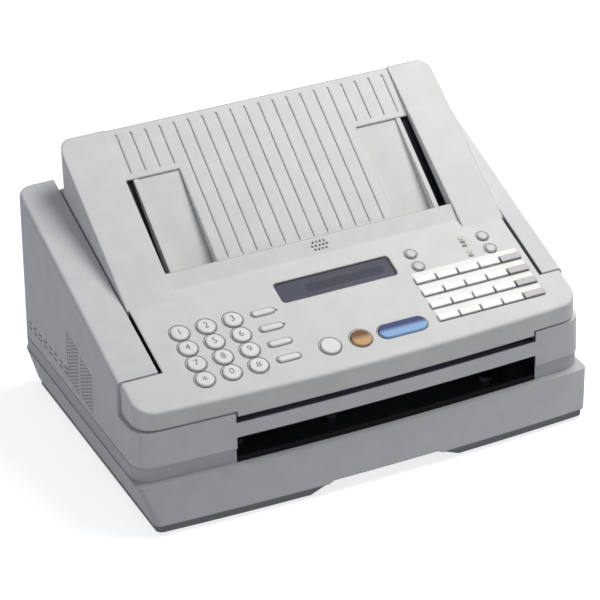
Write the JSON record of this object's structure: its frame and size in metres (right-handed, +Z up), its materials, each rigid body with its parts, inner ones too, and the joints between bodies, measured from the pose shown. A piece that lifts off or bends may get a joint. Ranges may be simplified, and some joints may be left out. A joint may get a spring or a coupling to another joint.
{
  "type": "fax machine",
  "caption": "Desktop fax machine with a sloping key panel, a document tray with sliding guides, and a roll printer under a hinged top cover.",
  "frame": {"origin": "middle of the bounding box's bottom face, on the surface the machine stands on", "axes": "+X to the machine's right, +Y to its back, +Z up"},
  "size_m": [0.362, 0.2487, 0.2036],
  "materials": {
    "case": "fine texture",
    "cover": "fine texture",
    "guide": "fine texture",
    "foot_rubber": "matt",
    "frame": "satin",
    "sensor": "glossy top",
    "head": "satin",
    "spring_steel": "satin",
    "bright_steel": "bright",
    "board": "solder resist",
    "sheet_steel": "plated",
    "socket": "satin",
    "motor_can": "plated",
    "bush": "sintered",
    "gear_plastic": "satin",
    "platen_rubber": "matt",
    "roller": "matt",
    "paper": "smooth",
    "window": "clear",
    "display": "satin",
    "lamp": "diffuse",
    "label": "smooth",
    "mat": "matt",
    "sounder": "satin",
    "pad_rubber": "matt",
    "number_key": "satin",
    "function_key": "satin",
    "touch_key": "satin",
    "stop_key": "glossy",
    "start_key": "glossy"
  },
  "bodies": {
    "chassis": {"base_case": "case", "main_housing": "case", "rubber_feet": "foot_rubber", "lower_frame": "frame", "image_sensor": "sensor", "thermal_head": "head", "head_springs": "spring_steel", "tear_bar": "bright_steel", "main_board": "board", "power_supply": "sheet_steel", "rear_sockets": "socket", "drive_motor": "motor_can", "shaft_bushes": "bush", "hinge_pins": "bright_steel"},
    "cover": {"top_cover": "cover", "panel_back": "frame", "lcd_window": "window", "lcd_module": "display", "indicator_lamps": "lamp", "one_touch_labels": "label", "key_mat": "mat", "panel_board": "board", "sounder": "sounder", "separation_pad": "pad_rubber"},
    "guide_left_body": {"guide_left": "guide"},
    "guide_right_body": {"guide_right": "guide"},
    "guide_pinion_body": {"guide_pinion": "gear_plastic"},
    "motor_rotor": {"motor_pinion": "gear_plastic"},
    "platen": {"platen_roller": "platen_rubber", "platen_gear": "gear_plastic"},
    "feed": {"feed_roller": "roller"},
    "exit": {"exit_roller": "roller"},
    "roll": {"paper_roll": "paper"},
    "key_1_body": {"key_1": "number_key"},
    "key_2_body": {"key_2": "number_key"},
    "key_3_body": {"key_3": "number_key"},
    "key_4_body": {"key_4": "number_key"},
    "key_5_body": {"key_5": "number_key"},
    "key_6_body": {"key_6": "number_key"},
    "key_7_body": {"key_7": "number_key"},
    "key_8_body": {"key_8": "number_key"},
    "key_9_body": {"key_9": "number_key"},
    "key_star_body": {"key_star": "number_key"},
    "key_0_body": {"key_0": "number_key"},
    "key_hash_body": {"key_hash": "number_key"},
    "function_key_1_body": {"function_key_1": "function_key"},
    "function_key_2_body": {"function_key_2": "function_key"},
    "function_key_3_body": {"function_key_3": "function_key"},
    "function_key_4_body": {"function_key_4": "function_key"},
    "copy_key_body": {"copy_key": "function_key"},
    "stop_key_body": {"stop_key": "stop_key"},
    "start_key_body": {"start_key": "start_key"},
    "mode_key_1_body": {"mode_key_1": "function_key"},
    "mode_key_2_body": {"mode_key_2": "function_key"},
    "mode_key_3_body": {"mode_key_3": "function_key"},
    "mode_key_4_body": {"mode_key_4": "function_key"},
    "one_touch_row_1_body": {"one_touch_row_1": "touch_key"},
    "one_touch_row_2_body": {"one_touch_row_2": "touch_key"},
    "one_touch_row_3_body": {"one_touch_row_3": "touch_key"},
    "one_touch_row_4_body": {"one_touch_row_4": "touch_key"}
  },
  "joints": [
    {"name": "cover_hinge", "type": "hinge", "parent": "chassis", "child": "cover", "pos_m": [0, 0.1105, 0.152], "axis": [-1, 0, 0], "range_deg": [0, 62]},
    {"name": "key_1_press", "type": "slide", "parent": "cover", "child": "key_1_body", "axis": [0, 0.3223, -0.9466], "range_m": [0, 0.0012], "stiffness_N_per_m": 500, "springref_m": -0.0008},
    {"name": "key_2_press", "type": "slide", "parent": "cover", "child": "key_2_body", "axis": [0, 0.3223, -0.9466], "range_m": [0, 0.0012], "stiffness_N_per_m": 500, "springref_m": -0.0008},
    {"name": "key_3_press", "type": "slide", "parent": "cover", "child": "key_3_body", "axis": [0, 0.3223, -0.9466], "range_m": [0, 0.0012], "stiffness_N_per_m": 500, "springref_m": -0.0008},
    {"name": "key_4_press", "type": "slide", "parent": "cover", "child": "key_4_body", "axis": [0, 0.3223, -0.9466], "range_m": [0, 0.0012], "stiffness_N_per_m": 500, "springref_m": -0.0008},
    {"name": "key_5_press", "type": "slide", "parent": "cover", "child": "key_5_body", "axis": [0, 0.3223, -0.9466], "range_m": [0, 0.0012], "stiffness_N_per_m": 500, "springref_m": -0.0008},
    {"name": "key_6_press", "type": "slide", "parent": "cover", "child": "key_6_body", "axis": [0, 0.3223, -0.9466], "range_m": [0, 0.0012], "stiffness_N_per_m": 500, "springref_m": -0.0008},
    {"name": "key_7_press", "type": "slide", "parent": "cover", "child": "key_7_body", "axis": [0, 0.3223, -0.9466], "range_m": [0, 0.0012], "stiffness_N_per_m": 500, "springref_m": -0.0008},
    {"name": "key_8_press", "type": "slide", "parent": "cover", "child": "key_8_body", "axis": [0, 0.3223, -0.9466], "range_m": [0, 0.0012], "stiffness_N_per_m": 500, "springref_m": -0.0008},
    {"name": "key_9_press", "type": "slide", "parent": "cover", "child": "key_9_body", "axis": [0, 0.3223, -0.9466], "range_m": [0, 0.0012], "stiffness_N_per_m": 500, "springref_m": -0.0008},
    {"name": "key_star_press", "type": "slide", "parent": "cover", "child": "key_star_body", "axis": [0, 0.3223, -0.9466], "range_m": [0, 0.0012], "stiffness_N_per_m": 500, "springref_m": -0.0008},
    {"name": "key_0_press", "type": "slide", "parent": "cover", "child": "key_0_body", "axis": [0, 0.3223, -0.9466], "range_m": [0, 0.0012], "stiffness_N_per_m": 500, "springref_m": -0.0008},
    {"name": "key_hash_press", "type": "slide", "parent": "cover", "child": "key_hash_body", "axis": [0, 0.3223, -0.9466], "range_m": [0, 0.0012], "stiffness_N_per_m": 500, "springref_m": -0.0008},
    {"name": "function_key_1_press", "type": "slide", "parent": "cover", "child": "function_key_1_body", "axis": [0, 0.3223, -0.9466], "range_m": [0, 0.0012], "stiffness_N_per_m": 500, "springref_m": -0.0008},
    {"name": "function_key_2_press", "type": "slide", "parent": "cover", "child": "function_key_2_body", "axis": [0, 0.3223, -0.9466], "range_m": [0, 0.0012], "stiffness_N_per_m": 500, "springref_m": -0.0008},
    {"name": "function_key_3_press", "type": "slide", "parent": "cover", "child": "function_key_3_body", "axis": [0, 0.3223, -0.9466], "range_m": [0, 0.0012], "stiffness_N_per_m": 500, "springref_m": -0.0008},
    {"name": "function_key_4_press", "type": "slide", "parent": "cover", "child": "function_key_4_body", "axis": [0, 0.3223, -0.9466], "range_m": [0, 0.0012], "stiffness_N_per_m": 500, "springref_m": -0.0008},
    {"name": "copy_key_press", "type": "slide", "parent": "cover", "child": "copy_key_body", "axis": [0, 0.3223, -0.9466], "range_m": [0, 0.0012], "stiffness_N_per_m": 500, "springref_m": -0.0008},
    {"name": "stop_key_press", "type": "slide", "parent": "cover", "child": "stop_key_body", "axis": [0, 0.3223, -0.9466], "range_m": [0, 0.0012], "stiffness_N_per_m": 500, "springref_m": -0.0008},
    {"name": "start_key_press", "type": "slide", "parent": "cover", "child": "start_key_body", "axis": [0, 0.3223, -0.9466], "range_m": [0, 0.0012], "stiffness_N_per_m": 500, "springref_m": -0.0008},
    {"name": "mode_key_1_press", "type": "slide", "parent": "cover", "child": "mode_key_1_body", "axis": [0, 0.3223, -0.9466], "range_m": [0, 0.0012], "stiffness_N_per_m": 500, "springref_m": -0.0008},
    {"name": "mode_key_2_press", "type": "slide", "parent": "cover", "child": "mode_key_2_body", "axis": [0, 0.3223, -0.9466], "range_m": [0, 0.0012], "stiffness_N_per_m": 500, "springref_m": -0.0008},
    {"name": "mode_key_3_press", "type": "slide", "parent": "cover", "child": "mode_key_3_body", "axis": [0, 0.3223, -0.9466], "range_m": [0, 0.0012], "stiffness_N_per_m": 500, "springref_m": -0.0008},
    {"name": "mode_key_4_press", "type": "slide", "parent": "cover", "child": "mode_key_4_body", "axis": [0, 0.3223, -0.9466], "range_m": [0, 0.0012], "stiffness_N_per_m": 500, "springref_m": -0.0008},
    {"name": "one_touch_row_1_press", "type": "slide", "parent": "cover", "child": "one_touch_row_1_body", "axis": [0, 0.3223, -0.9466], "range_m": [0, 0.0012], "stiffness_N_per_m": 500, "springref_m": -0.0008},
    {"name": "one_touch_row_2_press", "type": "slide", "parent": "cover", "child": "one_touch_row_2_body", "axis": [0, 0.3223, -0.9466], "range_m": [0, 0.0012], "stiffness_N_per_m": 500, "springref_m": -0.0008},
    {"name": "one_touch_row_3_press", "type": "slide", "parent": "cover", "child": "one_touch_row_3_body", "axis": [0, 0.3223, -0.9466], "range_m": [0, 0.0012], "stiffness_N_per_m": 500, "springref_m": -0.0008},
    {"name": "one_touch_row_4_press", "type": "slide", "parent": "cover", "child": "one_touch_row_4_body", "axis": [0, 0.3223, -0.9466], "range_m": [0, 0.0012], "stiffness_N_per_m": 500, "springref_m": -0.0008},
    {"name": "guide_left_slide", "type": "slide", "parent": "cover", "child": "guide_left_body", "axis": [-1, 0, 0], "range_m": [0, 0.0065]},
    {"name": "guide_right_slide", "type": "slide", "parent": "cover", "child": "guide_right_body", "axis": [1, 0, 0], "range_m": [0, 0.0065]},
    {"name": "guide_pinion_turn", "type": "hinge", "parent": "cover", "child": "guide_pinion_body", "pos_m": [0.0095, 0.04684, 0.15466], "axis": [0, -0.5909, 0.8068], "range_deg": [0, 55]},
    {"name": "platen_turn", "type": "hinge", "parent": "chassis", "child": "platen", "pos_m": [0, -0.07202, 0.05869], "axis": [1, 0, 0], "continuous": true},
    {"name": "exit_turn", "type": "hinge", "parent": "chassis", "child": "exit", "pos_m": [0, -0.0615, 0.08026], "axis": [1, 0, 0], "continuous": true},
    {"name": "feed_turn", "type": "hinge", "parent": "chassis", "child": "feed", "pos_m": [0, -0.02566, 0.09584], "axis": [1, 0, 0], "continuous": true},
    {"name": "motor_turn", "type": "hinge", "parent": "chassis", "child": "motor_rotor", "pos_m": [0, -0.03802, 0.07527], "axis": [1, 0, 0], "continuous": true},
    {"name": "roll_turn", "type": "hinge", "parent": "chassis", "child": "roll", "pos_m": [0, 0.0575, 0.092], "axis": [1, 0, 0], "continuous": true}
  ],
  "couplings": [
    {"joint": "guide_right_slide", "follows": "guide_left_slide", "ratio": 1},
    {"joint": "guide_pinion_turn", "follows": "guide_left_slide", "rad_per_m": 142.86},
    {"joint": "exit_turn", "follows": "platen_turn", "ratio": -1},
    {"joint": "motor_turn", "follows": "platen_turn", "ratio": 1},
    {"joint": "feed_turn", "follows": "platen_turn", "ratio": -1}
  ]
}
